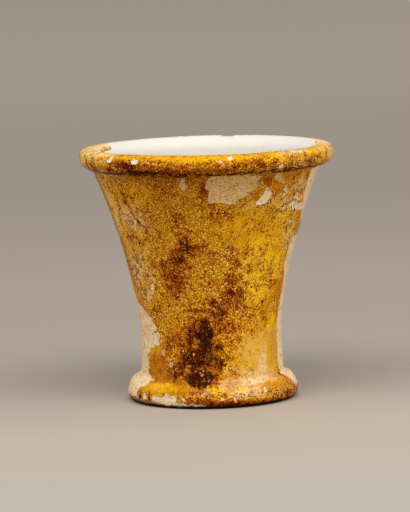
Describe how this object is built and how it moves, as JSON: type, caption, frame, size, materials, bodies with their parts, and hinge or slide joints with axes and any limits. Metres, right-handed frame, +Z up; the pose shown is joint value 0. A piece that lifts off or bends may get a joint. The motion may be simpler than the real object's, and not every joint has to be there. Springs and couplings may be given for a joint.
{
  "type": "ointment jar",
  "caption": "Small waisted stone ointment jar with a flared wall, a rounded projecting lip, a rounded foot and a bored hollow open at the top.",
  "frame": {"origin": "middle of the flat face that the jar stands on", "axes": "+Z up along the jar's turning axis, towards the mouth; -Y is the side that the picture shows"},
  "size_m": [0.088, 0.088, 0.088],
  "materials": {
    "weathered_travertine": "pale calcite under a thin ochre and brown burial crust, flaked off in patches, satin to dull"
  },
  "bodies": {
    "root": {"jar_body": "weathered_travertine"}
  },
  "joints": []
}
